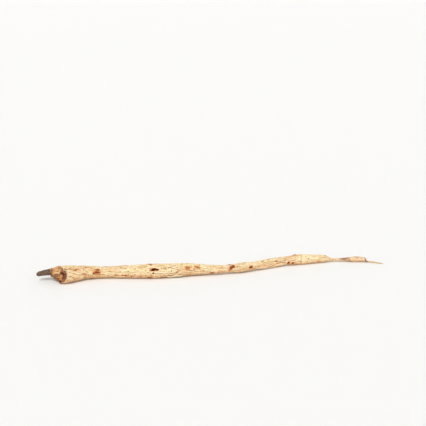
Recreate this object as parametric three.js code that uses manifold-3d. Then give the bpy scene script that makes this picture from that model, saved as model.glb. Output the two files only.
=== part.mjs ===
// Dried glehnia root: a slender taproot lying on a surface, grown as one piece.
// Millimetres, +Z up. The crown is at -X and the tail at +X. The origin is at the
// middle of the footprint, on the surface that the root rests on.
import * as THREE from 'three';
import { mergeVertices } from 'three/addons/utils/BufferGeometryUtils.js';
import Module from 'manifold-3d';

// ---- Driving dimensions ---------------------------------------------------

// Lengthwise places of the root's parts, from the middle of its length.
const CROWN_X = -114;
const STUB_TIP_X = -137.5;
const SWELLING_X = 115.5;
const HAIR_TIP_X = 135;

// Thickest place of the taproot, and how round its section is (height over width).
const BELLY_HEIGHT = 11.7;
const BELLY_ROUNDNESS = 0.95;

// The surface that the root rests on: the rounded underside is flat where it touches.
const SURFACE_Z = 0;

// The crown's front head ends in an oblique cut across it.
const CUT_CENTRE = new THREE.Vector3(-118.5, -7, 5.4);
const CUT_NORMAL = new THREE.Vector3(-0.78, -0.48, 0.4);

// Facets round a limb, and rings of facets between two of its stations.
const BODY_SIDES = 20;
const HEAD_SIDES = 16;
const THIN_SIDES = 10;
const LIMB_RINGS = 3;
const STRAND_RINGS = 4;

// Blocks that take away what lies beyond the oblique cut and below the surface.
const CUT_BLOCK = 40;
const SURFACE_BLOCK = 400;

// Corners closer together than this are one corner.
const SAME_CORNER = 1e-4;

// ---- Stations -------------------------------------------------------------
// Each station is a section: x along the root, y sideways bow, z height of its
// centre above the surface, and its full height. The width follows from roundness.

const station = (x, y, z, height, roundness = BELLY_ROUNDNESS) => ({
  centre: new THREE.Vector3(x, y, z),
  tall: height / 2,
  wide: height / 2 / roundness,
});

// The taproot: from its crown shoulder, over the blunt step where the thin tail
// begins, to the swelling that ends the tail.
const TAPROOT = [
  station(CROWN_X, -2.2, 6, 6),
  station(-111.5, -2, 6, 9.8),
  station(-106.5, -1.2, 5.9, 11.2),
  station(-99, -0.6, 5.4, 10.3),
  station(-90, -0.8, 4.9, 9.1),
  station(-76, -2.2, 4.8, 8.9),
  station(-66, -4.4, 5, 9.7),
  station(-57, -6.2, 5.15, 10.7),
  station(-43.5, -8.2, 5.4, BELLY_HEIGHT),
  station(-31, -8.6, 5.25, 10.6),
  station(-20, -8.5, 5.1, 9.6),
  station(-11.5, -9.2, 4.7, 8.5),
  station(-3.5, -10.2, 4.4, 6.8),
  station(4, -10.8, 4.2, 6.2),
  station(10.5, -11, 4.1, 6.1),
  station(18, -10.5, 4.05, 7),
  station(24.5, -9.6, 4, 7.5),
  station(34, -7.4, 3.9, 5.4),
  station(46, -3.6, 5.1, 6),
  station(58, -1.8, 3.8, 6.6),
  station(66, -1.3, 3.6, 7.7),
  station(74, -1.2, 3.6, 8),
  station(80, -1.1, 3.45, 7),
  station(87, -1.1, 3.35, 6.6),
  station(91.6, -1.3, 2.9, 5.4),
  station(93.2, -1.5, 2.4, 4),
  station(94, -1.7, 2, 2.6),
  station(98, -2.2, 1.9, 2.4),
  station(104, -3.4, 1.9, 2.3),
  station(108.5, -4.2, 2.1, 3.2),
  station(SWELLING_X - 3, -5, 2.3, 4.5),
  station(SWELLING_X + 2.5, -6, 2.3, 4.2),
  station(SWELLING_X + 6, -6.8, 2.2, 3.4),
  station(SWELLING_X + 7.2, -7, 2.2, 2.2),
];

// The front head of the crown, which the oblique cut ends.
const FRONT_HEAD = [
  station(-99, -2.4, 5, 7.2),
  station(-106, -3.9, 5.1, 9.4),
  station(-113, -5.6, 5.1, 10.3),
  station(-124, -7.2, 5.1, 10.6),
];

// The back head, which stands a little higher and carries the withered stem base.
const BACK_HEAD = [
  station(-99, -0.2, 5.9, 6.8),
  station(-106, 0.3, 6.3, 9.2),
  station(-113, 0.2, 6.2, 10.6),
  station(-119, -0.2, 6, 11.4),
  station(-121.5, -0.2, 6.1, 10.6),
  station(-123.5, 0, 6.5, 8.6),
  station(-125.3, 0.3, 7, 6.2),
  station(-126.8, 0.6, 7.3, 4.2),
];

// The withered stem base: a dark, scaly rod that droops from the back head.
const STUB = [
  station(-122.5, 0.6, 7.3, 4.6, 1),
  station(-127.5, 0.6, 7.3, 5, 1),
  station(-132.5, 0.6, 6.7, 4.1, 1),
  station(STUB_TIP_X + 1.6, 0.5, 6.1, 3.7, 1),
  station(STUB_TIP_X, 0.4, 6, 2.2, 1),
];

// A side strand grown fast along the front of the narrow waist of the taproot.
const STRAND = [
  station(27, -10.4, 3.5, 1.4, 1),
  station(33, -9.4, 3, 3, 1),
  station(40, -7.6, 2.8, 4.2, 1),
  station(48, -5.4, 2.7, 4.6, 1),
  station(56, -3.9, 2.8, 4.2, 1),
  station(63, -2.9, 2.9, 2, 1),
];

// The last rootlet: a stiff hair that leaves the underside of the swelling.
const HAIR = [
  station(SWELLING_X - 4, -4.8, 1.6, 1.2, 1),
  station(SWELLING_X + 4, -7.2, 1.15, 1.4, 1),
  station(SWELLING_X + 12, -10.2, 0.85, 1.25, 1),
  station(HAIR_TIP_X - 3, -13.4, 0.75, 1.1, 1),
  station(HAIR_TIP_X, -14.8, 0.75, 0.6, 1),
];

// Scars of broken side roots: low round bosses, mostly sunk in the skin.
const BOSSES = [
  { place: [-17.5, -10.9, 8], radius: 1.7 },
  { place: [32, -9.6, 3.9], radius: 1.5 },
  { place: [62.7, -4.3, 3], radius: 1.8 },
];

// ---- Geometry helpers -----------------------------------------------------

// A limb: a closed lathe of unit radius, whose rings are then moved onto the
// stations' sections, square to the curve through their centres.
function limb(stations, sides, ringsPerStation) {
  const rings = (stations.length - 1) * ringsPerStation;
  const profile = [new THREE.Vector2(0, 0)];
  for (let ring = 0; ring <= rings; ring += 1) {
    profile.push(new THREE.Vector2(1, ring / rings));
  }
  profile.push(new THREE.Vector2(0, 1));
  const geometry = new THREE.LatheGeometry(profile, sides);

  const path = new THREE.CatmullRomCurve3(stations.map((s) => s.centre));
  const sizes = new THREE.CatmullRomCurve3(
    stations.map((s) => new THREE.Vector3(s.wide, s.tall, 0)),
  );
  const up = new THREE.Vector3(0, 0, 1);
  const places = geometry.attributes.position;
  for (let i = 0; i < places.count; i += 1) {
    const t = THREE.MathUtils.clamp(places.getY(i), 0, 1);
    const forward = path.getTangent(t);
    const side = new THREE.Vector3().crossVectors(forward, up).normalize();
    const lift = new THREE.Vector3().crossVectors(side, forward);
    const size = sizes.getPoint(t);
    const point = path.getPoint(t)
      .addScaledVector(side, places.getX(i) * size.x)
      .addScaledVector(lift, places.getZ(i) * size.y);
    places.setXYZ(i, point.x, point.y, point.z);
  }
  return geometry;
}

const wasm = await Module();
wasm.setup();

// A closed solid from a geometry, with its shared corners merged and the
// triangles that collapse at a lathe's poles left out.
function solid(geometry) {
  const bare = new THREE.BufferGeometry();
  bare.setAttribute('position', geometry.attributes.position);
  bare.setIndex(geometry.index);
  const merged = mergeVertices(bare, SAME_CORNER);
  const index = merged.index.array;
  const corners = [];
  for (let i = 0; i < index.length; i += 3) {
    const [a, b, c] = [index[i], index[i + 1], index[i + 2]];
    if (a !== b && b !== c && c !== a) {
      corners.push(a, b, c);
    }
  }
  return new wasm.Manifold(new wasm.Mesh({
    numProp: 3,
    vertProperties: new Float32Array(merged.attributes.position.array),
    triVerts: new Uint32Array(corners),
  }));
}

// A big block whose one face lies on a plane, filling the side that normal points to.
function blockBeyond(point, normal, size) {
  const block = new THREE.BoxGeometry(size, size, size);
  block.translate(0, 0, size / 2);
  const turn = new THREE.Quaternion().setFromUnitVectors(
    new THREE.Vector3(0, 0, 1),
    normal.clone().normalize(),
  );
  block.applyQuaternion(turn);
  block.translate(point.x, point.y, point.z);
  return solid(block);
}

function geometryOf(manifold) {
  const mesh = manifold.getMesh();
  const geometry = new THREE.BufferGeometry();
  geometry.setAttribute('position', new THREE.BufferAttribute(mesh.vertProperties, 3));
  geometry.setIndex(new THREE.BufferAttribute(mesh.triVerts, 1));
  return geometry;
}

// ---- The root -------------------------------------------------------------

function boss({ place, radius }) {
  const ball = new THREE.IcosahedronGeometry(radius, 1);
  ball.translate(...place);
  return solid(ball);
}

function makeRoot() {
  const frontHead = solid(limb(FRONT_HEAD, HEAD_SIDES, LIMB_RINGS))
    .subtract(blockBeyond(CUT_CENTRE, CUT_NORMAL, CUT_BLOCK));
  const limbs = [
    frontHead,
    solid(limb(BACK_HEAD, HEAD_SIDES, LIMB_RINGS)),
    solid(limb(STUB, THIN_SIDES, LIMB_RINGS)),
    solid(limb(STRAND, THIN_SIDES, STRAND_RINGS)),
    solid(limb(HAIR, THIN_SIDES, LIMB_RINGS)),
    ...BOSSES.map(boss),
  ];
  const grown = limbs.reduce(
    (whole, piece) => whole.add(piece),
    solid(limb(TAPROOT, BODY_SIDES, LIMB_RINGS)),
  );
  const surface = new THREE.Vector3(0, 0, SURFACE_Z);
  const down = new THREE.Vector3(0, 0, -1);
  const rested = grown.subtract(blockBeyond(surface, down, SURFACE_BLOCK));

  const geometry = geometryOf(rested);
  geometry.computeBoundingBox();
  const middle = geometry.boundingBox.getCenter(new THREE.Vector3());
  geometry.translate(-middle.x, -middle.y, -geometry.boundingBox.min.z);
  return geometry;
}

const skin = new THREE.MeshStandardMaterial({
  color: 0xe9cfa4,
  roughness: 0.85,
  metalness: 0,
});

const root = new THREE.Mesh(makeRoot(), skin);
root.name = 'glehnia_root';

const part = new THREE.Group();
part.add(root);

export default part;
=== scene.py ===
# %% [markdown]
# # A dried glehnia root
# The finished object is one slender taproot, dried hard. It lies on a pale floor. One
# end is the knobbly crown, where the stems grew, and the other runs out into a tail
# as thin as a hair. The frame below is fixed: it gives the root's real size and place,
# and the skin modelled here stands in for its plain solid.

import math
import random

import bpy
import numpy as np
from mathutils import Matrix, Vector, noise


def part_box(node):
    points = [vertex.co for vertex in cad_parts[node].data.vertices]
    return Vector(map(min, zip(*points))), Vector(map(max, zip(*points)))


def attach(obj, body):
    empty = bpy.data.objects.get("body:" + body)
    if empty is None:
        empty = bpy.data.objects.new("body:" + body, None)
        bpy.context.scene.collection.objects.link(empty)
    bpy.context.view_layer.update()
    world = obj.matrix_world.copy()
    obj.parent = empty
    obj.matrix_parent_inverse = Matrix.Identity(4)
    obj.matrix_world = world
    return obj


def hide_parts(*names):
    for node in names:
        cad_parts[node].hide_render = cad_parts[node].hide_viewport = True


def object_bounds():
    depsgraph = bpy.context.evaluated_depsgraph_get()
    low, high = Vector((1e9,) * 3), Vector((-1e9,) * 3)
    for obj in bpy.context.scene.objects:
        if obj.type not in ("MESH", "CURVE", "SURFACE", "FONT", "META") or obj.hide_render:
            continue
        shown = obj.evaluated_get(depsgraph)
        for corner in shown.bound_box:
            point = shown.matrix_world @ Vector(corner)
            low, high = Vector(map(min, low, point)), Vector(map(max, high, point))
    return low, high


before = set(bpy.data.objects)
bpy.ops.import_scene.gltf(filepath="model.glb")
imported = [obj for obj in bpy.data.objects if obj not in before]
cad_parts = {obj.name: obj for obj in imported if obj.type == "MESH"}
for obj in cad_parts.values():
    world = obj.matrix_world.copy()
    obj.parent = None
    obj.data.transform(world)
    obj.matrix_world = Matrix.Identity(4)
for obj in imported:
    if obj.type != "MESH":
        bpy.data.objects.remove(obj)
cad_low, cad_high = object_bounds()
print("frame box, mm:", [round(v * 1000, 1) for v in (*cad_low, *cad_high)])

# %% [markdown]
# ## Camera, light and floor
# The camera comes first, because every later look is judged through it. It stands a
# little above the root and turned so that the tail recedes, with a long lens so that
# the slender shape isn't stretched. The light is that of a plain product table: one
# big soft source above, a weaker one in front, and a pale floor that sends light back
# up under the root. The floor turns up at its edge, far away, so that a low view ends
# on a pale wall.

# %% Point the camera
MM = 0.001
ROOT_MIDDLE = (Vector(cad_low) + Vector(cad_high)) / 2
CAMERA_TURN = math.radians(10.6)
CAMERA_RISE = math.radians(20)
CAMERA_DISTANCE = 1.05
VIEW_WIDTH = 0.332
SENSOR_WIDTH = 36  # mm
NEAREST = 0.01
AIM_SIDE = 0.5 * MM
AIM_ABOVE = 40.3 * MM

forward = Vector((
    math.sin(CAMERA_TURN) * math.cos(CAMERA_RISE),
    math.cos(CAMERA_TURN) * math.cos(CAMERA_RISE),
    -math.sin(CAMERA_RISE),
))
camera_data = bpy.data.cameras.new("camera")
camera = bpy.data.objects.new("camera", camera_data)
bpy.context.scene.collection.objects.link(camera)
camera.rotation_euler = forward.to_track_quat("-Z", "Y").to_euler()
picture_right = camera.rotation_euler.to_matrix() @ Vector((1, 0, 0))
picture_up = camera.rotation_euler.to_matrix() @ Vector((0, 1, 0))
aim = ROOT_MIDDLE + picture_right * AIM_SIDE + picture_up * AIM_ABOVE
camera.location = aim - forward * CAMERA_DISTANCE
camera_data.sensor_width = SENSOR_WIDTH
camera_data.lens = SENSOR_WIDTH * CAMERA_DISTANCE / VIEW_WIDTH
camera_data.clip_start = NEAREST
camera_data.dof.use_dof = False
bpy.context.scene.camera = camera
print("lens, mm:", round(camera_data.lens, 1))

# %% Light the table
def soft_sun(name, place, softness, strength):
    """Even light from the side of a place, as wide in the sky as softness in degrees."""
    lamp = bpy.data.lights.new(name, "SUN")
    lamp.angle = math.radians(softness)
    lamp.energy = strength
    holder = bpy.data.objects.new(name, lamp)
    bpy.context.scene.collection.objects.link(holder)
    holder.location = place
    holder.rotation_euler = (-Vector(place)).to_track_quat("-Z", "Y").to_euler()
    return holder


soft_sun("key_light", (-0.45, -0.6, 1.0), 18, 1.62)
soft_sun("front_light", (0.5, -1.0, 0.2), 60, 0.86)

ROOM_STRENGTH = 0.58
world = bpy.data.worlds.new("pale_room")
world.use_nodes = True
world.node_tree.nodes["Background"].inputs["Color"].default_value = (1, 1, 1, 1)
world.node_tree.nodes["Background"].inputs["Strength"].default_value = ROOM_STRENGTH
bpy.context.scene.world = world
bpy.context.scene.view_settings.view_transform = "Standard"

# %% Lay the floor
def deselect_all():
    """Leaves edit mode and drops the selection, so an operator touches only what comes next."""
    if bpy.context.mode != "OBJECT":
        bpy.ops.object.mode_set(mode="OBJECT")
    bpy.ops.object.select_all(action="DESELECT")


FLOOR_RADIUS = 3.0
FLOOR_EDGE = 0.02
FLOOR_SIDES = 96
FLOOR_RIM = [(0.5, 0.06), (0.4, 0.26), (0.15, 0.5), (0.02, 0.6)]  # outward, upward, in metres

deselect_all()
bpy.ops.mesh.primitive_circle_add(vertices=FLOOR_SIDES, radius=FLOOR_RADIUS, fill_type="NGON")
floor = bpy.context.object
floor.name = "floor"
bpy.ops.object.mode_set(mode="EDIT")
bpy.ops.mesh.inset(thickness=FLOOR_EDGE)
bpy.ops.mesh.select_all(action="DESELECT")
bpy.ops.mesh.select_mode(type="EDGE")
bpy.ops.mesh.select_non_manifold()
rim_radius = FLOOR_RADIUS
for outward, upward in FLOOR_RIM:
    grow = (rim_radius + outward) / rim_radius
    bpy.ops.mesh.extrude_edges_move(TRANSFORM_OT_translate={"value": (0, 0, upward)})
    bpy.ops.transform.resize(value=(grow, grow, 1))
    rim_radius += outward
bpy.ops.mesh.select_all(action="SELECT")
bpy.ops.mesh.normals_make_consistent(inside=True)
bpy.ops.object.mode_set(mode="OBJECT")
bpy.ops.object.shade_smooth()
print("floor faces up:", floor.data.polygons[0].normal.z > 0)
floor_paint = bpy.data.materials.new("pale_floor")
floor_paint.use_nodes = True
floor_shader = floor_paint.node_tree.nodes["Principled BSDF"]
floor_shader.inputs["Base Color"].default_value = (0.91, 0.905, 0.89, 1)
floor_shader.inputs["Roughness"].default_value = 0.85
floor.data.materials.append(floor_paint)

# %% [markdown]
# ## The limbs
# A root is easiest to draw as a worm: a ring of points that is pushed along, swelled
# and narrowed. Each limb starts as a filled circle, and edit-mode extrude, move and
# scale carry it from section to section. The taproot, the two heads of the crown, the
# withered stem base, the fused side strand and the tail's hair are drawn apart, and
# grow together in the next step. The sections are those of the frame's solid.

# %% Sections of each limb, in mm
STUB_TIP = -137.5
SWELLING = 115.5
HAIR_TIP = 135
FLAT = 0.95  # a limb's height over its width

TAPROOT = [  # x along, y sideways, z height of the centre, full height
    (-114, -2.2, 6.0, 6.0), (-111.5, -2.0, 6.0, 9.8), (-106.5, -1.2, 5.9, 11.2),
    (-99, -0.6, 5.4, 10.3), (-90, -0.8, 4.9, 9.1), (-76, -2.2, 4.8, 8.9),
    (-66, -4.4, 5.0, 9.7), (-57, -6.2, 5.15, 10.7), (-43.5, -8.2, 5.4, 11.7),
    (-31, -8.6, 5.25, 10.6), (-20, -8.5, 5.1, 9.6), (-11.5, -9.2, 4.7, 8.5),
    (-3.5, -10.2, 4.4, 6.8), (4, -10.8, 4.2, 6.2), (10.5, -11.0, 4.1, 6.1),
    (18, -10.5, 4.05, 7.0), (24.5, -9.6, 4.0, 7.5), (34, -7.4, 3.9, 5.4),
    (46, -3.6, 5.1, 6.0), (58, -1.8, 3.8, 6.6), (66, -1.3, 3.6, 7.7),
    (74, -1.2, 3.6, 8.0), (80, -1.1, 3.45, 7.0), (87, -1.1, 3.35, 6.6),
    (91.6, -1.3, 2.9, 5.4), (93.2, -1.5, 2.4, 4.0), (94.0, -1.7, 2.0, 2.6),
    (98, -2.2, 1.9, 2.4), (104, -3.4, 1.9, 2.3), (108.5, -4.2, 2.1, 3.2),
    (SWELLING - 3, -5.0, 2.3, 4.5), (SWELLING + 2.5, -6.0, 2.3, 4.2),
    (SWELLING + 6, -6.8, 2.2, 3.4), (SWELLING + 7.2, -7.0, 2.2, 2.2),
]
FRONT_HEAD = [
    (-99, -2.4, 5.0, 7.2), (-106, -3.9, 5.1, 9.4), (-113, -5.6, 5.1, 10.3),
    (-124, -7.2, 5.1, 10.6),
]
BACK_HEAD = [
    (-99, -0.2, 5.9, 6.8), (-106, 0.3, 6.3, 9.2), (-113, 0.2, 6.2, 10.6),
    (-119, -0.2, 6.0, 11.4), (-121.5, -0.2, 6.1, 10.6), (-123.5, 0.0, 6.5, 8.6),
    (-125.3, 0.3, 7.0, 6.2), (-126.8, 0.6, 7.3, 4.2),
]
STUB = [
    (-122.5, 0.6, 7.3, 4.6), (-127.5, 0.6, 7.3, 5.0), (-132.5, 0.6, 6.7, 4.1),
    (STUB_TIP + 1.6, 0.5, 6.1, 3.7), (STUB_TIP + 0.2, 0.4, 6.0, 2.2),
]
STRAND = [
    (27, -10.4, 3.5, 1.4), (33, -9.4, 3.0, 3.0), (40, -7.6, 2.8, 4.2),
    (48, -5.4, 2.7, 4.6), (56, -3.9, 2.8, 4.2), (63, -2.9, 2.9, 2.0),
]
HAIR = [
    (SWELLING - 4, -4.8, 1.6, 1.2), (SWELLING + 4, -7.2, 1.15, 1.4),
    (SWELLING + 12, -10.2, 0.85, 1.25), (HAIR_TIP - 3, -13.4, 0.75, 1.1),
    (HAIR_TIP, -14.8, 0.75, 0.6),
]
BOSSES = [  # scars of broken side roots: a place in the skin and a radius
    (-17.5, -10.9, 8.0, 1.7), (32, -9.6, 3.9, 1.5), (62.7, -4.3, 3.0, 1.8),
]

FRONTMOST = -15.02  # the hair's front edge, which is the frontmost place of the root
node_low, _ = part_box("glehnia_root")
SHIFT = Vector((node_low.x - STUB_TIP * MM, node_low.y - FRONTMOST * MM, 0))
print("sections moved by, mm:", [round(v * 1000, 2) for v in SHIFT])

# %% Draw a limb section by section
SUBDIVIDED_SHRINK = 1.045  # a subdivided ring of 12 lies this much inside its points


def grow_limb(name, sections, flat=1.0, sides=12, smooth_levels=2):
    """A closed limb through its sections, each an upright ring pushed on from the last."""
    deselect_all()
    x, y, z, height = sections[0]
    start = Vector((x, y, z)) * MM + SHIFT
    bpy.ops.mesh.primitive_circle_add(
        vertices=sides, radius=1, fill_type="NGON", location=start,
        rotation=(0, math.pi / 2, 0),
    )
    limb = bpy.context.object
    limb.name = name
    bpy.ops.object.transform_apply(location=False, rotation=True, scale=False)
    bpy.ops.object.mode_set(mode="EDIT")
    radius = height / 2 * MM * SUBDIVIDED_SHRINK
    bpy.ops.transform.resize(value=(1, radius / flat, radius))
    for (ax, ay, az, a_height), (bx, by, bz, b_height) in zip(sections, sections[1:]):
        step = Vector((bx - ax, by - ay, bz - az)) * MM
        grow = b_height / a_height
        bpy.ops.mesh.extrude_region_move(TRANSFORM_OT_translate={"value": step})
        bpy.ops.transform.resize(value=(1, grow, grow))
    bpy.ops.mesh.select_all(action="SELECT")
    bpy.ops.mesh.normals_make_consistent(inside=False)
    bpy.ops.object.mode_set(mode="OBJECT")
    bpy.ops.object.transform_apply(location=True, rotation=True, scale=True)
    bpy.ops.object.modifier_add(type="SUBSURF")
    limb.modifiers[-1].levels = smooth_levels
    limb.modifiers[-1].render_levels = smooth_levels
    bpy.ops.object.modifier_apply(modifier=limb.modifiers[-1].name)
    return limb


limbs = [
    grow_limb("taproot", TAPROOT, flat=FLAT),
    grow_limb("back_head", BACK_HEAD, flat=FLAT),
    grow_limb("stub", STUB),
    grow_limb("strand", STRAND),
    grow_limb("hair", HAIR),
]
print("limbs:", {limb.name: len(limb.data.vertices) for limb in limbs})

# %% [markdown]
# ## The cut head
# The front head was trimmed with a knife before drying, so it ends in an oblique face.
# Bisect slices the limb with a plane, throws the outer side away and fills the hole.

# %% Slice the front head
CUT_CENTRE = Vector((-118.5, -7.0, 5.4)) * MM + SHIFT
CUT_NORMAL = Vector((-0.78, -0.48, 0.4)).normalized()

front_head = grow_limb("front_head", FRONT_HEAD, flat=FLAT)
bpy.ops.object.mode_set(mode="EDIT")
bpy.ops.mesh.select_all(action="SELECT")
bpy.ops.mesh.bisect(
    plane_co=CUT_CENTRE, plane_no=CUT_NORMAL, use_fill=True, clear_outer=True,
)
bpy.ops.object.mode_set(mode="OBJECT")
limbs.append(front_head)

# %% Add the bosses of broken side roots
for number, (x, y, z, radius) in enumerate(BOSSES):
    deselect_all()
    bpy.ops.mesh.primitive_ico_sphere_add(
        subdivisions=3, radius=radius * MM, location=Vector((x, y, z)) * MM + SHIFT,
    )
    boss = bpy.context.object
    boss.name = f"boss_{number}"
    bpy.ops.object.transform_apply(location=True, rotation=True, scale=True)
    limbs.append(boss)

# %% [markdown]
# ## Growing the limbs together
# Joined limbs only poke through each other. A voxel remesh takes the outside of them
# all and covers it with one even net of small quads, which is what the fine relief
# needs. A smoothing pass then turns the hard seams between limbs into the soft
# valleys of living tissue. The thin tail is kept out of it, because it would shrink.

# %% Join and remesh
VOXEL = 0.312 * MM

deselect_all()
for limb in limbs:
    limb.select_set(True)
bpy.context.view_layer.objects.active = limbs[0]
bpy.ops.object.join()
skin = bpy.context.object
skin.name = "glehnia_root_skin"
bpy.ops.object.modifier_add(type="REMESH")
skin.modifiers[-1].mode = "VOXEL"
skin.modifiers[-1].voxel_size = VOXEL
bpy.ops.object.modifier_apply(modifier=skin.modifiers[-1].name)
print("net of quads:", len(skin.data.polygons))

# %% Smooth the joins
def points_of(mesh):
    """The mesh's vertices as rows of x, y, z in metres."""
    flat_list = np.empty(len(mesh.vertices) * 3)
    mesh.vertices.foreach_get("co", flat_list)
    return flat_list.reshape(-1, 3)


def normals_of(mesh):
    """The mesh's vertex normals as rows."""
    flat_list = np.empty(len(mesh.vertices) * 3)
    mesh.vertex_normals.foreach_get("vector", flat_list)
    return flat_list.reshape(-1, 3)


def ease(value, low, high):
    """0 below low, 1 above high, and a soft step between. low may be the larger one."""
    t = np.clip((value - low) / (high - low), 0, 1)
    return t * t * (3 - 2 * t)


TAIL_STARTS = 94.0
TAIL_SHARE = 0.12  # how much of the smoothing the tail gets
SMOOTHING = 0.6
SMOOTHING_ROUNDS = 14

along = (points_of(skin.data)[:, 0] - SHIFT.x) / MM
thick = skin.vertex_groups.new(name="thick")
for index, weight in enumerate(ease(along, TAIL_STARTS + 4, TAIL_STARTS - 2)):
    thick.add([index], TAIL_SHARE + (1 - TAIL_SHARE) * float(weight), "REPLACE")
bpy.ops.object.modifier_add(type="SMOOTH")
skin.modifiers[-1].factor = SMOOTHING
skin.modifiers[-1].iterations = SMOOTHING_ROUNDS
skin.modifiers[-1].vertex_group = "thick"
bpy.ops.object.modifier_apply(modifier=skin.modifiers[-1].name)

# %% [markdown]
# ## Finding a way round the skin
# Wrinkles run along the root and scars sit at a spot on its side, so every point of
# the skin gets two addresses: how far along it is, in millimetres, and how far round,
# in degrees, with 0 at the front, 90 on top and 180 at the back. Noise is read on a
# tube of those two, which leaves no seam where the turn closes.

# %% Give each point its address
centres = np.array([
    (STUB_TIP, 0.6, 6.2), (-132.5, 0.8, 6.9), (-127.5, 0.6, 7.2), (-121, -1.8, 6.2),
    *[section[:3] for section in TAPROOT[2:]],
    (SWELLING + 12, -10.0, 0.85), (HAIR_TIP, -14.8, 0.75),
])


def address(points):
    """How far along in mm, how far round in radians, and how far from the middle in mm."""
    local = (points - np.array(SHIFT)) / MM
    x = local[:, 0]
    front = np.interp(x, centres[:, 0], centres[:, 1]) - local[:, 1]
    above = local[:, 2] - np.interp(x, centres[:, 0], centres[:, 2])
    return x, np.arctan2(above, front), np.hypot(front, above)


def tube_noise(x, turn, cells_round, cell_length, seed):
    """Smooth noise from -1 to 1 on the skin, with cells of that count round and length in mm."""
    reach = cells_round / (2 * math.pi)
    spots = np.stack([
        np.cos(turn) * reach + seed * 7.31,
        np.sin(turn) * reach - seed * 3.17,
        x / cell_length + seed * 11.9,
    ], 1)
    return np.array([noise.noise(spot) for spot in spots.tolist()])


def block_noise(points, cell, seed):
    """Smooth noise from -1 to 1 in space, with cells of that size in mm."""
    spots = points / (cell * MM) + seed * 5.7
    return np.array([noise.noise(spot) for spot in spots.tolist()])


def crease(field, width):
    """1 along the lines where a noise crosses zero, falling to 0 at that width."""
    return np.clip(1 - np.abs(field) / width, 0, 1) ** 1.5


points = points_of(skin.data)
x, turn, reach = address(points)
print("points:", len(x), "thickest, mm:", round(float(reach.max()) * 2, 1))

# %% [markdown]
# ## Broad form
# A dried root is never round: it shrank unevenly, so it has flats, waves and soft
# dents. These moves are large and slow, and go in before the fine relief so that the
# wrinkles follow them.

# %% Dent and wave the body
FLOOR_GAP = 0.02 * MM  # the skin stays this far above the floor


def move_along_normals(distance):
    """Moves each point of the skin out by a distance in mm, and gives the new points."""
    mesh = skin.data
    moved = points_of(mesh) + normals_of(mesh) * (distance * MM)[:, None]
    moved[:, 2] = np.maximum(moved[:, 2], FLOOR_GAP)
    mesh.vertices.foreach_set("co", moved.ravel())
    mesh.update()
    return moved


body = ease(x, TAIL_STARTS + 3, TAIL_STARTS - 6)
neck = ease(x, -131, -124)
waves = 0.42 * tube_noise(x, turn, 2.2, 15, 1) + 0.26 * tube_noise(x, turn, 4, 6.5, 2)
knots = 0.16 * tube_noise(x, turn, 7, 3.2, 3)
points = move_along_normals((waves + knots) * (0.12 + 0.88 * body) * (0.25 + 0.75 * neck))

# %% [markdown]
# ## Wrinkles
# As the flesh shrank, the skin folded lengthwise into furrows: a few deep ones, many
# fine ones, and here and there a short ring fold across, most of them near the crown.
# Each is the line where a stretched noise crosses zero, so it wanders, forks and fades
# as a real fold does.

# %% Fold the skin
twist = turn + 0.012 * x
fade = 0.3 + 0.7 * ease(tube_noise(x, turn, 3, 18, 4), -0.35, 0.3)
ribs = tube_noise(x, twist, 10, 24, 19)
deep = crease(tube_noise(x, twist, 8, 22, 5), 0.12) * fade
forks = crease(tube_noise(x, twist, 15, 11, 20), 0.13)
fine = crease(tube_noise(x, twist, 24, 8, 6), 0.16)
hairline = crease(tube_noise(x, twist, 44, 4.5, 7), 0.2)
near_crown = ease(x, -92, -112)
ring_spots = np.maximum(ease(tube_noise(x, turn, 4, 9, 8), 0.02, 0.32), 0.6 * near_crown)
rings = crease(tube_noise(x, turn, 5, 1.4, 9), 0.14) * ring_spots
grain = tube_noise(x, turn, 48, 1.1, 10)

points = move_along_normals(
    (
        0.17 * ribs - 0.50 * deep - 0.22 * forks - 0.16 * fine
        - 0.06 * hairline - 0.16 * rings + 0.06 * grain
    )
    * (0.25 + 0.75 * body)
)

# %% [markdown]
# ## Scars
# Side roots broke off and left brown scars, some sunken, some as knobs, a few dark
# holes go in below the skin, and short breathing ridges run across. Each one on the
# face that shows most is placed one by one. The far side and the underside get marks of
# the same kinds, scattered evenly. A ragged noise is added to every mark's outline,
# because a torn root never leaves a clean circle.

# %% Say what each kind of mark is
# Kind: how far its middle stands out in mm, its lip, how brown it is, and how dark.
KINDS = {
    "scar": (-0.16, 0.12, 1.0, 0.0),
    "stain": (0.0, 0.0, 0.62, 0.0),
    "knob": (0.55, -0.16, 0.9, 0.0),
    "ridge": (0.15, -0.05, 0.3, 0.0),
    "pit": (-0.32, 0.06, 0.4, 0.85),
    "slit": (-0.55, 0.12, 0.5, 0.95),
    "hole": (-1.6, 0.14, 1.0, 1.0),
}

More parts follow.
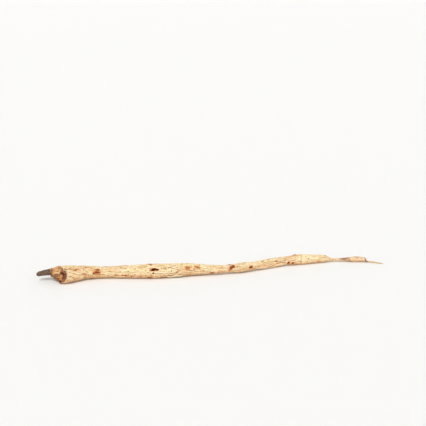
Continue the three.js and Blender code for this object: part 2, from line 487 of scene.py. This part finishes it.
# Kind, mm along, degrees round, mm long, mm wide, and how strong.
MARKS = [
    ("scar", -93.3, 10, 3.4, 1.2, 0.9), ("scar", -90.6, 17, 4.6, 1.5, 1.0),
    ("scar", -90.2, 43, 3.6, 1.4, 0.9), ("stain", -91.2, 27, 5.4, 5.0, 1.0),
    ("pit", -92.4, 26, 1.1, 1.0, 0.5), ("stain", -93.6, 0, 2.2, 1.6, 0.8),
    ("stain", -89.8, -10, 4.2, 2.0, 0.6), ("stain", -102.2, 6, 3.4, 2.4, 0.6),
    ("slit", -115.7, 63, 1.9, 0.8, 0.9), ("slit", -114.3, 56, 1.9, 0.8, 0.9),
    ("slit", -108.0, 44, 2.6, 0.7, 0.5), ("stain", -107.6, 42, 5.0, 1.8, 0.9),
    ("slit", -112.5, -41, 1.5, 0.8, 0.9), ("slit", -111.2, -35, 1.4, 0.7, 0.8),
    ("stain", -110.1, -34, 5.0, 2.0, 0.7), ("slit", -100.0, 62, 3.4, 0.6, 0.5),
    ("pit", -103.9, -48, 1.2, 0.6, 0.7), ("stain", -97.7, 66, 7.0, 2.2, 0.6),
    ("stain", -77.1, -8, 3.4, 1.6, 0.7), ("scar", -71.8, -12, 2.4, 1.4, 0.7),
    ("scar", -69.5, -16, 2.0, 1.3, 0.9), ("ridge", -67.0, -4, 1.2, 3.6, 1.0),
    ("pit", -67.4, 22, 1.2, 1.0, 0.9), ("scar", -65.0, -24, 2.2, 1.2, 0.8),
    ("stain", -58.7, -26, 4.0, 1.6, 0.6), ("scar", -51.4, -42, 4.2, 1.7, 0.9),
    ("hole", -48.4, 31, 3.6, 2.3, 1.0), ("hole", -46.2, 33, 2.8, 1.8, 0.9),
    ("stain", -50.8, 30, 2.6, 3.0, 0.9), ("hole", -48.9, 3, 1.6, 1.3, 0.9),
    ("pit", -47.4, 0, 1.2, 1.0, 0.8), ("ridge", -34.8, 12, 1.0, 2.4, 1.0),
    ("pit", -34.9, 16, 0.8, 1.5, 0.8), ("stain", -21.9, 36, 3.8, 3.2, 1.0),
    ("scar", -22.5, 40, 1.6, 2.0, 0.7), ("scar", -17.2, 25, 2.0, 1.4, 0.7),
    ("knob", -13.8, 36, 2.2, 1.5, 0.8), ("stain", -14.9, 48, 4.4, 2.2, 0.8),
    ("stain", -10.2, 10, 3.4, 1.6, 0.8), ("scar", -3.0, -30, 4.0, 1.5, 0.9),
    ("scar", 2.2, -26, 2.2, 1.2, 0.7), ("stain", 5.3, -20, 3.6, 1.6, 0.6),
    ("scar", 13.6, 50, 2.8, 2.8, 1.0), ("scar", 12.0, 30, 2.6, 2.8, 1.0),
    ("stain", 10.8, 8, 2.4, 3.0, 0.9), ("pit", 17.0, 40, 1.5, 1.2, 0.8),
    ("scar", 28.1, 14, 3.4, 2.2, 1.0), ("pit", 27.5, 8, 1.3, 0.9, 0.8),
    ("ridge", 22.9, 70, 1.1, 2.6, 0.9), ("scar", 38.5, 60, 2.2, 1.4, 0.6),
    ("scar", 59.8, -10, 2.6, 2.0, 1.0), ("scar", 63.2, -12, 2.0, 1.5, 0.9),
    ("pit", 59.6, -8, 1.1, 0.9, 0.7), ("scar", 75.8, 31, 1.2, 1.0, 0.8),
    ("stain", 50.2, 12, 3.0, 1.8, 0.7), ("stain", 84.0, -20, 5.0, 1.8, 0.6),
]
ROW_STARTS, ROW_STEP, ROW_DOTS = -42.4, 1.35, 6  # a row of small holes
for dot in range(ROW_DOTS):
    MARKS.append(("pit", ROW_STARTS + ROW_STEP * dot, 42 + 3 * (dot % 2), 1.1, 0.8, 0.9))

# %% Scatter the rest
draw = random.Random(4)
for _ in range(66):
    place = draw.uniform(-108, 90)
    side = draw.uniform(78, 322)
    size = draw.uniform(0.9, 2.4)
    kind = draw.choice(("scar", "stain", "stain", "knob", "pit", "slit"))
    MARKS.append((kind, place, side, size * draw.uniform(1, 1.9), size, draw.uniform(0.45, 1.0)))
for _ in range(60):
    place = draw.uniform(-110, 112)
    side = draw.uniform(-60, 300)
    size = draw.uniform(0.5, 1.2)
    MARKS.append(("pit", place, side, size, size * 0.8, draw.uniform(0.3, 0.8)))
for _ in range(46):
    place = draw.uniform(-106, 88)
    side = draw.uniform(-60, 300)
    MARKS.append(("ridge", place, side, 0.8, draw.uniform(1.6, 4.2), draw.uniform(0.4, 1.0)))
print("marks:", len(MARKS))

# %% Press the marks into the skin
x, turn, reach = address(points)
wobble_along = 0.5 * tube_noise(x, turn, 12, 2.4, 11)
wobble_round = 0.5 * tube_noise(x, turn, 12, 2.4, 12)
ragged = 0.42 * tube_noise(x, turn, 24, 1.5, 21) + 0.30 * tube_noise(x, turn, 44, 0.8, 22)
scar_mask, pit_mask, relief = np.zeros(len(x)), np.zeros(len(x)), np.zeros(len(x))
for kind, place, side, length, width, strength in MARKS:
    rise, lip_rise, brown, dark = KINDS[kind]
    near = np.flatnonzero(np.abs(x - place) < length + 2.5)
    gap = turn[near] - math.radians(side)
    gap = (gap + math.pi) % (2 * math.pi) - math.pi
    across = gap * reach[near] + wobble_round[near]
    lengthwise = x[near] - place + wobble_along[near]
    far = np.hypot(lengthwise / (length / 2), across / (width / 2)) + ragged[near]
    middle = ease(far, 1.15, 0.55) * strength
    lip = np.exp(-((far - 1.25) / 0.28) ** 2) * strength
    relief[near] += rise * middle + lip_rise * lip
    scar_mask[near] = np.maximum(scar_mask[near], ease(far, 1.75, 0.35) * strength * brown)
    pit_mask[near] = np.maximum(pit_mask[near], ease(far, 1.35, 0.45) * strength * dark)

# %% Lift the peeled flake and press the ring crease
FLAKE_AT, FLAKE_LONG = -32.2, 13.5
FLAKE_CRACK = -19.0
flake_reach = ease(np.abs(x - FLAKE_AT), FLAKE_LONG / 2, FLAKE_LONG / 2 - 2.5)
below_crack = FLAKE_CRACK + 0.7 * (x - FLAKE_AT) - np.degrees(turn)
below_crack += 14 * tube_noise(x, turn, 6, 2.2, 25)
crack = np.exp(-((below_crack + 2) / 3.4) ** 2) * flake_reach
crack *= 0.25 + 0.75 * ease(tube_noise(x, turn, 3, 2.6, 26), -0.25, 0.1)
flake = ease(below_crack, 1, 6) * ease(below_crack, 46, 18) * flake_reach
relief += 0.55 * flake - 0.65 * crack
pit_mask = np.maximum(pit_mask, 0.9 * crack)

CREASE_AT = 70.6
crease_line = np.exp(-((x - CREASE_AT + 0.5 * np.cos(turn) + 2.0 * wobble_along) / 0.4) ** 2)
crease_line *= ease(np.cos(turn - math.radians(30)), -0.2, 0.4)
swell = ease(x, CREASE_AT - 3, CREASE_AT) * ease(x, CREASE_AT + 9, CREASE_AT)
relief += 0.22 * swell - 0.14 * crease_line
points = move_along_normals(relief)

# %% [markdown]
# ## Crown, cut face and stem base
# The crown is where the plant met the soil. Its skin is tan and cracked, with rough
# brown bark left at its edges. The cut face shows a rim of bark, a dark crevice and a
# woody knob, and the old stem base is a dark rod covered in scales. Rough bark is
# noise in space, the face is drawn in circles round its knob, and the scales are waves
# along the rod.

# %% Roughen the crown
x, turn, reach = address(points)
edge_wander = 1.6 * block_noise(points, 3.0, 13)
crown = ease(x + edge_wander, -116.0, -120.5)
stub = ease(x + 0.5 * edge_wander, -125.9, -127.0)
bark_rough = block_noise(points, 1.5, 14) + 0.6 * block_noise(points, 0.8, 15)
bark_cracks = crease(block_noise(points, 2.4, 23), 0.10)
collar = np.exp(-((x + 126.0) / 0.9) ** 2)
bark_from = block_noise(points, 3.0, 24) + 0.7 * ease(x, -121.5, -125.5) - 0.6 * np.sin(turn)
bark = crown * ease(bark_from, 0.0, 0.4)
scales = np.abs(np.sin((x + 0.8 * block_noise(points, 1.4, 16)) * 2.0 + 2 * np.cos(turn))) ** 0.6

# %% Draw the cut face
normals = normals_of(skin.data)
from_cut = points - np.array(CUT_CENTRE)
depth_in = np.abs(from_cut @ np.array(CUT_NORMAL)) / MM
facing = normals @ np.array(CUT_NORMAL)
cut = ease(depth_in, 1.3, 0.6) * ease(facing, 0.40, 0.72)
face_up = Vector((0, 0, 1)) - CUT_NORMAL * CUT_NORMAL.z
face_up.normalize()
face_side = CUT_NORMAL.cross(face_up)
over = from_cut @ np.array(face_side) / MM + 0.5 * block_noise(points, 1.8, 17)
up = from_cut @ np.array(face_up) / MM + 0.5 * block_noise(points, 1.8, 18)
KNOB_OVER, KNOB_UP, KNOB_SIZE = 1.2, -0.6, 2.2
from_knob = np.hypot(over - KNOB_OVER, (up - KNOB_UP) * 0.75)
knob = ease(from_knob, KNOB_SIZE, KNOB_SIZE * 0.55)
crevice = np.exp(-((from_knob - KNOB_SIZE * 1.15) / 0.6) ** 2)
crevice *= 0.25 + 0.75 * ease(up - KNOB_UP, -0.5, 1.6)
low_pit = np.exp(-(((over - KNOB_OVER + 0.1) / 0.7) ** 2 + ((up - KNOB_UP + 3.3) / 1.0) ** 2))
plum = cut * ease(over, 0.2, -1.2) * ease(up, -3.5, 0.5)
growth_rings = np.sin(from_knob * 5.0)
face_relief = (
    0.5 * knob - 1.4 * crevice - 1.1 * low_pit + 0.34 * bark_rough + 0.10 * growth_rings
)

crown_relief = (0.26 + 0.24 * bark) * bark_rough + 0.24 * bark - 0.30 * bark_cracks
relief = (
    crown_relief * crown * (1 - cut) * (1 - stub)
    + 0.45 * collar * (0.5 + bark_rough) * (1 - cut)
    + 0.34 * (scales - 0.6) * stub + 0.12 * bark_rough * stub
    + cut * face_relief
)
points = move_along_normals(relief)
pit_mask = np.maximum(pit_mask, cut * np.clip(crevice + low_pit, 0, 1))
pit_mask = np.maximum(pit_mask, 0.55 * bark_cracks * crown * (1 - stub))
print("cut face points:", int((cut > 0.5).sum()), "stub points:", int((stub > 0.5).sum()))

# %% [markdown]
# ## What the paint needs to know
# Hollows get painted shade, and the ridges are paler, partly because handling rubs
# them pale and partly as a painted highlight. How far a point lies below its
# smoothed-out surroundings says which it is, so the net is averaged over and over and
# compared with itself. That and the masks above are kept on the mesh as named numbers.

# %% Tell hollows from ridges
def averaged(mesh, values, rounds):
    """Rows of values, each replaced by the average of its neighbours in the net, over and over."""
    ends = np.empty(len(mesh.edges) * 2, np.int32)
    mesh.edges.foreach_get("vertices", ends)
    first, second = ends.reshape(-1, 2).T
    size = len(mesh.vertices)
    neighbours = np.bincount(first, minlength=size) + np.bincount(second, minlength=size)
    for _ in range(rounds):
        values = np.stack([
            np.bincount(first, column[second], size) + np.bincount(second, column[first], size)
            for column in values.T
        ], 1) / neighbours[:, None]
    return values


normals = normals_of(skin.data)
sunk_fine = ((averaged(skin.data, points, 10) - points) * normals).sum(1) / MM
sunk_wide = ((averaged(skin.data, points, 70) - points) * normals).sum(1) / MM
# How deep a point lies in a hollow: the paint darkens it there as painted shade.
hollow_shade = ease(sunk_fine, 0.012, 0.10) * 0.85 + ease(sunk_wide, 0.02, 0.42) * 0.5
# How far out on a ridge a point lies: the paint makes it paler, partly as wear and partly as a
# painted highlight.
ridge = ease(sunk_fine, -0.01, -0.09)
print("hollow share:", round(float((hollow_shade > 0.5).mean()), 2))

# %% Keep the masks on the mesh, where the paint can read them
x, turn, reach = address(points)
tail = ease(x, TAIL_STARTS - 6, TAIL_STARTS + 3)
# Painted shade: the lower side of the root is painted darker and more orange.
underside_shade = ease(np.sin(turn - math.radians(12)), 0.25, -0.85)
tail_dark = np.exp(-((x - 105.5) / 4.2) ** 2) * (0.35 + 0.65 * ease(np.sin(turn), 0.0, 0.7))
tail_dark += ease(x, SWELLING + 4.0, SWELLING + 7.5) * (1 - ease(x, SWELLING + 7.5, SWELLING + 9))
hair = ease(x, SWELLING + 6.5, SWELLING + 9.5)


def keep(name, values):
    """Stores one number for each point of the skin under a name."""
    layer = skin.data.attributes.new(name, "FLOAT", "POINT")
    layer.data.foreach_set("value", np.clip(values, 0, 1).astype(np.float32))


keep("scar", scar_mask)
keep("pit", pit_mask)
# The painted shade of the hollows, with the ring crease darkened too.
keep("hollow_shade", hollow_shade + 0.35 * crease_line)
# The ridges, kept for wear and for a painted highlight.
keep("ridge", ridge)
keep("crown", crown)
keep("bark", bark)
keep("stub", stub)
keep("cut", cut)
keep("knob", cut * knob)
keep("plum", plum)
keep("tail", tail)
keep("tail_dark", tail_dark)
keep("hair", hair)
# The painted shade of the lower side.
keep("underside_shade", underside_shade)
keep("flake", flake)

# %% [markdown]
# ## The skin's own map
# Paint that is baked later needs a flat map of the surface. The root unrolls like a
# label: its length is cut into four strips, each rolled out flat and laid above the
# last, so that no part of the map is squeezed.

# %% Roll the skin out
STRIPS = 4
STRIP_EDGE = 0.012


def unroll(mesh):
    """Lays the skin out in strips by the addresses of its points."""
    x, turn, _ = address(points_of(mesh))
    corners = np.empty(len(mesh.loops), np.int32)
    mesh.loops.foreach_get("vertex_index", corners)
    totals = np.empty(len(mesh.polygons), np.int32)
    mesh.polygons.foreach_get("loop_total", totals)
    starts = np.concatenate([[0], np.cumsum(totals)[:-1]])
    face = np.repeat(np.arange(len(totals)), totals)
    first_turn = turn[corners[starts]][face]
    corner_turn = turn[corners]
    corner_turn = first_turn + (corner_turn - first_turn + math.pi) % (2 * math.pi) - math.pi
    middle = np.add.reduceat(x[corners], starts) / totals
    low, high = x.min(), x.max()
    strip = np.clip(((middle - low) / (high - low) * STRIPS).astype(int), 0, STRIPS - 1)[face]
    across = (x[corners] - low) / (high - low) * STRIPS - strip
    round_share = (corner_turn + math.pi) / (2 * math.pi)
    u = STRIP_EDGE + across * (1 - 2 * STRIP_EDGE)
    v = (strip + STRIP_EDGE * 3 + round_share * (1 - 6 * STRIP_EDGE)) / STRIPS
    layer = mesh.uv_layers.new(name="OFBake")
    layer.uv.foreach_set("vector", np.stack([u, v], 1).astype(np.float32).ravel())


unroll(skin.data)

# %% [markdown]
# ## The paint
# The dry skin is cream, mottled with tan, streaked along its length, and brown in every
# scar. Painted shade makes it more orange below and darker in its hollows, and a
# painted highlight, with some wear, makes its ridges paler. All of it is worked out
# from the place on the root and from the masks above, so there is no picture to
# stretch. The helpers keep each layer of paint to one line.

# %% Helpers for paint
class Paint:
    """A material under construction, with short ways to add its nodes."""

    def __init__(self, name):
        self.material = bpy.data.materials.new(name)
        self.material.use_nodes = True
        self.nodes = self.material.node_tree.nodes
        self.links = self.material.node_tree.links
        self.shader = self.nodes["Principled BSDF"]
        self.place = self.nodes.new("ShaderNodeTexCoord").outputs["Object"]

    def stretched(self, scale):
        """Object coordinates in cells: scale says how many mm a cell is along x, y and z."""
        node = self.nodes.new("ShaderNodeMapping")
        node.inputs["Scale"].default_value = [1000 / size for size in scale]
        self.links.new(self.place, node.inputs["Vector"])
        return node.outputs["Vector"]

    def noise(self, scale, detail=3.0, roughness=0.55, distortion=0.0):
        """Soft noise from 0 to 1 with cells of that many mm along x, y and z."""
        node = self.nodes.new("ShaderNodeTexNoise")
        node.inputs["Scale"].default_value = 1.0
        node.inputs["Detail"].default_value = detail
        node.inputs["Roughness"].default_value = roughness
        node.inputs["Distortion"].default_value = distortion
        self.links.new(self.stretched(scale), node.inputs["Vector"])
        return node.outputs["Fac"]

    def specks(self, scale):
        """The distance to the nearest of many scattered dots, in cells."""
        node = self.nodes.new("ShaderNodeTexVoronoi")
        node.inputs["Scale"].default_value = 1.0
        self.links.new(self.stretched(scale), node.inputs["Vector"])
        return node.outputs["Distance"]

    def mask(self, name):
        """A number kept on the mesh."""
        node = self.nodes.new("ShaderNodeAttribute")
        node.attribute_name = name
        return node.outputs["Fac"]

    def between(self, value, low, high, to_low=0.0, to_high=1.0):
        """Stretches low..high of a value to to_low..to_high, softly and clamped."""
        node = self.nodes.new("ShaderNodeMapRange")
        node.interpolation_type = "SMOOTHSTEP"
        settings = (low, high, to_low, to_high)
        for socket, setting in zip(("From Min", "From Max", "To Min", "To Max"), settings):
            node.inputs[socket].default_value = setting
        self.links.new(value, node.inputs["Value"])
        return node.outputs["Result"]

    def sum(self, kind, a, b):
        """a and b put together by a kind of sum, such as MULTIPLY; either may be a number."""
        node = self.nodes.new("ShaderNodeMath")
        node.operation = kind
        for socket, value in zip(node.inputs, (a, b)):
            if isinstance(value, (int, float)):
                socket.default_value = value
            else:
                self.links.new(value, socket)
        return node.outputs[0]

    def frayed(self, name, fray, amount):
        """A kept mask with a noise added, so that a threshold on it has a torn edge."""
        shift = self.sum("MULTIPLY", self.sum("SUBTRACT", fray, 0.5), amount)
        return self.sum("ADD", self.mask(name), shift)

    def layer(self, below, colour, amount):
        """A colour laid over what is below by an amount, both numbers or sockets."""
        node = self.nodes.new("ShaderNodeMix")
        node.data_type = "RGBA"
        for index, value in ((0, amount), (6, below), (7, colour)):
            if isinstance(value, (int, float)):
                node.inputs[index].default_value = value
            elif isinstance(value, tuple):
                node.inputs[index].default_value = (*value, 1.0)
            else:
                self.links.new(value, node.inputs[index])
        return node.outputs[2]

    def bump(self, height, distance, strength=1.0):
        """Fine relief of that height in metres, joined to the shader's normal."""
        node = self.nodes.new("ShaderNodeBump")
        node.inputs["Strength"].default_value = strength
        node.inputs["Distance"].default_value = distance
        self.links.new(height, node.inputs["Height"])
        self.links.new(node.outputs["Normal"], self.shader.inputs["Normal"])


def rgb(red, green, blue):
    """A colour given as 0 to 255, as a screen shows it, in the numbers a shader takes."""
    return tuple(
        (c / 255 / 12.92) if c <= 10 else ((c / 255 + 0.055) / 1.055) ** 2.4
        for c in (red, green, blue)
    )


# %% Mix the colours
CREAM = rgb(246, 224, 168)
PALE = rgb(254, 240, 202)
TAN = rgb(224, 178, 118)
CORK = rgb(208, 146, 86)
HONEY = rgb(214, 146, 84)
# The colour of painted shade on the lower side.
UNDER_SHADE = rgb(216, 142, 76)
STREAK = rgb(170, 108, 60)
SCAR = rgb(128, 62, 34)
SCAR_EDGE = rgb(184, 104, 56)
DARK = rgb(86, 30, 15)
# The colour of painted shade in hollows and creases.
FURROW_SHADE = rgb(150, 90, 48)
CROWN_TAN = rgb(216, 152, 90)
BARK = rgb(112, 74, 52)
BARK_LIGHT = rgb(168, 120, 84)
PLUM = rgb(112, 60, 50)
WOOD = rgb(202, 142, 86)
FACE = rgb(178, 124, 88)
STEM_BASE = rgb(72, 54, 44)
STEM_GREY = rgb(142, 118, 100)
TAIL = rgb(212, 150, 108)
TAIL_SPOT = rgb(140, 86, 56)
HAIR_PALE = rgb(216, 184, 138)

# %% Paint the dry skin
dry = Paint("dried_skin")
fray = dry.noise((1.1, 0.8, 0.8), 3, 0.6)
mottle = dry.between(dry.noise((7, 3.4, 3.4), 4, 0.6), 0.42, 0.6)
cork = dry.between(dry.noise((13, 5, 5), 6, 0.66, 0.6), 0.50, 0.60)
streak = dry.between(dry.noise((8, 0.8, 0.8), 4, 0.6, 0.4), 0.46, 0.64)
thread = dry.between(dry.noise((5, 0.42, 0.42), 3, 0.5), 0.60, 0.72)
tick = dry.between(dry.noise((0.45, 2.6, 2.6), 2), 0.60, 0.72)
tick_spots = dry.between(dry.noise((8, 6, 6), 1), 0.50, 0.62)
fleck = dry.between(dry.noise((1.5, 0.9, 0.9), 3), 0.54, 0.68)
blush = dry.between(dry.noise((19, 8, 8), 2), 0.48, 0.66)
dots = dry.between(dry.specks((2.0, 1.5, 1.5)), 0.19, 0.08)
dot_spots = dry.between(dry.noise((6, 5, 5), 1), 0.50, 0.60)

colour = dry.layer(CREAM, PALE, mottle)
colour = dry.layer(colour, HONEY, dry.sum("MULTIPLY", blush, 0.32))
colour = dry.layer(colour, CORK, dry.sum("MULTIPLY", cork, 0.52))
colour = dry.layer(colour, TAN, dry.sum("MULTIPLY", streak, 0.60))
colour = dry.layer(colour, STREAK, dry.sum("MULTIPLY", thread, 0.42))
colour = dry.layer(colour, HONEY, dry.sum("MULTIPLY", fleck, 0.72))
# Painted shade on the lower side of the root.
colour = dry.layer(colour, UNDER_SHADE, dry.sum("MULTIPLY", dry.mask("underside_shade"), 0.68))
colour = dry.layer(colour, TAIL, dry.sum("MULTIPLY", dry.mask("tail"), 0.88))
colour = dry.layer(colour, PALE, dry.sum("MULTIPLY", dry.mask("flake"), 0.65))
# Paler ridges: partly wear, partly a painted highlight.
colour = dry.layer(colour, PALE, dry.sum("MULTIPLY", dry.mask("ridge"), 0.55))
# Painted shade in the hollows and creases of the skin.
colour = dry.layer(colour, FURROW_SHADE, dry.sum("MULTIPLY", dry.mask("hollow_shade"), 0.84))
colour = dry.layer(colour, STREAK, dry.sum("MULTIPLY", dry.sum("MULTIPLY", tick, tick_spots), 0.4))
colour = dry.layer(colour, SCAR, dry.sum("MULTIPLY", dry.sum("MULTIPLY", dots, dot_spots), 0.6))

# %% Paint the scars
torn_scar = dry.frayed("scar", fray, 0.9)
colour = dry.layer(colour, HONEY, dry.between(torn_scar, 0.10, 0.42, 0.0, 0.7))
colour = dry.layer(colour, SCAR_EDGE, dry.between(torn_scar, 0.34, 0.58, 0.0, 0.85))
colour = dry.layer(colour, SCAR, dry.between(torn_scar, 0.62, 0.86, 0.0, 0.85))

# %% Paint the crown, the cut face and the stem base
bark_tone = dry.layer(BARK_LIGHT, BARK, dry.between(dry.noise((0.9, 0.9, 0.9), 5, 0.7), 0.40, 0.60))
# Painted shade in the hollows of the bark.
bark_tone = dry.layer(bark_tone, DARK, dry.sum("MULTIPLY", dry.mask("hollow_shade"), 0.6))
# Paler bark ridges: partly wear, partly a painted highlight.
bark_tone = dry.layer(bark_tone, BARK_LIGHT, dry.sum("MULTIPLY", dry.mask("ridge"), 0.4))
crown_light = dry.between(dry.noise((1.6, 1.0, 1.0), 5, 0.65), 0.50, 0.66)
crown_dark = dry.between(dry.noise((2.2, 1.2, 1.2), 6, 0.7), 0.52, 0.66, 0.0, 0.75)
crown_tone = dry.layer(CROWN_TAN, CREAM, crown_light)
crown_tone = dry.layer(crown_tone, BARK, crown_dark)
# Painted shade in the hollows of the crown.
crown_tone = dry.layer(crown_tone, BARK, dry.sum("MULTIPLY", dry.mask("hollow_shade"), 0.7))
torn_crown = dry.frayed("crown", fray, 0.5)
colour = dry.layer(colour, crown_tone, dry.between(torn_crown, 0.2, 0.9, 0.0, 0.85))
torn_bark = dry.frayed("bark", fray, 1.1)
colour = dry.layer(colour, bark_tone, dry.between(torn_bark, 0.30, 0.75, 0.0, 0.95))
face_tone = dry.layer(FACE, bark_tone, dry.between(dry.noise((1.2, 1.2, 1.2), 4), 0.40, 0.6))
plum_tone = dry.layer(PLUM, bark_tone, dry.between(dry.noise((0.8, 0.8, 0.8), 4, 0.7), 0.42, 0.62))
colour = dry.layer(colour, face_tone, dry.between(dry.mask("cut"), 0.2, 0.6))
torn_plum = dry.frayed("plum", fray, 1.1)
colour = dry.layer(colour, plum_tone, dry.between(torn_plum, 0.2, 0.8, 0.0, 0.85))
colour = dry.layer(colour, WOOD, dry.between(dry.frayed("knob", fray, 0.5), 0.3, 0.6, 0.0, 0.9))
stem_tone = dry.layer(STEM_BASE, STEM_GREY, dry.between(dry.noise((1.1, 0.8, 0.8), 4), 0.48, 0.66))
# Paler ridges on the stem base: partly wear, partly a painted highlight.
stem_tone = dry.layer(stem_tone, STEM_GREY, dry.sum("MULTIPLY", dry.mask("ridge"), 0.5))
colour = dry.layer(colour, stem_tone, dry.between(dry.mask("stub"), 0.1, 0.8))

# %% Paint the tail and the dark pits
spotted = dry.between(dry.noise((2.6, 1.4, 1.4), 4, 0.6), 0.50, 0.66)
tail_spots = dry.sum("MULTIPLY", dry.sum("MULTIPLY", spotted, dry.mask("tail")), 0.6)
colour = dry.layer(colour, TAIL_SPOT, tail_spots)
colour = dry.layer(colour, HAIR_PALE, dry.sum("MULTIPLY", dry.mask("hair"), 0.85))
torn_dark = dry.frayed("tail_dark", fray, 1.0)
colour = dry.layer(colour, TAIL_SPOT, dry.between(torn_dark, 0.15, 0.9, 0.0, 0.8))
torn_pit = dry.frayed("pit", fray, 0.55)
colour = dry.layer(colour, SCAR, dry.between(torn_pit, 0.22, 0.45, 0.0, 0.8))
colour = dry.layer(colour, DARK, dry.between(torn_pit, 0.42, 0.66, 0.0, 0.95))

dry.links.new(colour, dry.shader.inputs["Base Color"])
dry.shader.inputs["Roughness"].default_value = 0.82
dry.shader.inputs["Specular IOR Level"].default_value = 0.2
grain_height = dry.sum("ADD", dry.noise((2.2, 0.35, 0.35), 4), dry.noise((0.5, 0.5, 0.5), 3))
dry.bump(grain_height, 0.00022, 0.9)

# %% Finish the skin
skin.data.materials.clear()
skin.data.materials.append(dry.material)
deselect_all()
skin.select_set(True)
bpy.context.view_layer.objects.active = skin
bpy.ops.object.shade_smooth()
skin.vertex_groups.clear()
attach(skin, "root")
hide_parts("glehnia_root")

# %% [markdown]
# ## Broken rootlets
# Here and there a hair of a side root is still on, snapped off short. Each is drawn as
# the limbs were, from a small ring that is pushed on and narrowed, and it starts just
# below the skin, so that it grows out of it. They are joined into one piece.

# %% Grow the rootlet ends
def grow_rootlet(root_point, outward, bend, length, radius):
    """A thin closed cone that leaves a point of the skin and bends on its way."""
    deselect_all()
    bpy.ops.mesh.primitive_circle_add(
        vertices=7, radius=radius, fill_type="NGON", location=root_point - outward * 0.3 * MM,
        rotation=outward.to_track_quat("Z", "Y").to_euler(),
    )
    rootlet = bpy.context.object
    bpy.ops.object.mode_set(mode="EDIT")
    for number, shrink in enumerate((0.72, 0.8, 0.75, 0.45)):
        step = (outward + bend * number * 0.45).normalized() * length / 4
        bpy.ops.mesh.extrude_region_move(TRANSFORM_OT_translate={"value": step})
        bpy.ops.transform.resize(value=(shrink, shrink, shrink))
    bpy.ops.mesh.select_all(action="SELECT")
    bpy.ops.mesh.normals_make_consistent(inside=False)
    bpy.ops.object.mode_set(mode="OBJECT")
    return rootlet


TIP_CLEARANCE = 0.5 * MM  # a tip lower than this above the floor is left out

draw = random.Random(11)
spots = [  # mm along, degrees round
    (17, 108), (63, -70), (-10, 84), (-82, -66),
    (-103, 98), (-24, -64), (30, 112), (-60, -70),
]
spots += [(draw.uniform(-110, 112), draw.uniform(-70, 290)) for _ in range(26)]
normals = normals_of(skin.data)
rootlets = []
for place, side in spots:
    gap = (turn - math.radians(side) + math.pi) % (2 * math.pi) - math.pi
    at = int(np.argmin((x - place) ** 2 + (gap * reach) ** 2))
    outward = Vector(normals[at])
    bend = Vector((draw.uniform(0.4, 1.6), draw.uniform(-0.6, 0.6), draw.uniform(-0.4, 0.4)))
    length = draw.uniform(1.0, 2.6) * MM
    if points[at][2] + outward.z * length < TIP_CLEARANCE:
        continue
    radius = draw.uniform(0.18, 0.34) * MM
    rootlets.append(grow_rootlet(Vector(points[at]), outward, bend, length, radius))
deselect_all()
for rootlet in rootlets:
    rootlet.select_set(True)
bpy.context.view_layer.objects.active = rootlets[0]
bpy.ops.object.join()
hairs = bpy.context.object
hairs.name = "rootlet_ends"
bpy.ops.object.transform_apply(location=True, rotation=True, scale=True)
bpy.ops.object.modifier_add(type="SUBSURF")
hairs.modifiers[-1].levels = 1
hairs.modifiers[-1].render_levels = 1
bpy.ops.object.modifier_apply(modifier=hairs.modifiers[-1].name)
bpy.ops.object.shade_smooth()
hairs.data.materials.append(dry.material)
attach(hairs, "root")
print("rootlet ends:", len(rootlets))

# %% Count the skin's triangles and finish
triangles = sum(len(polygon.vertices) - 2 for polygon in skin.data.polygons)
print("skin triangles:", triangles)
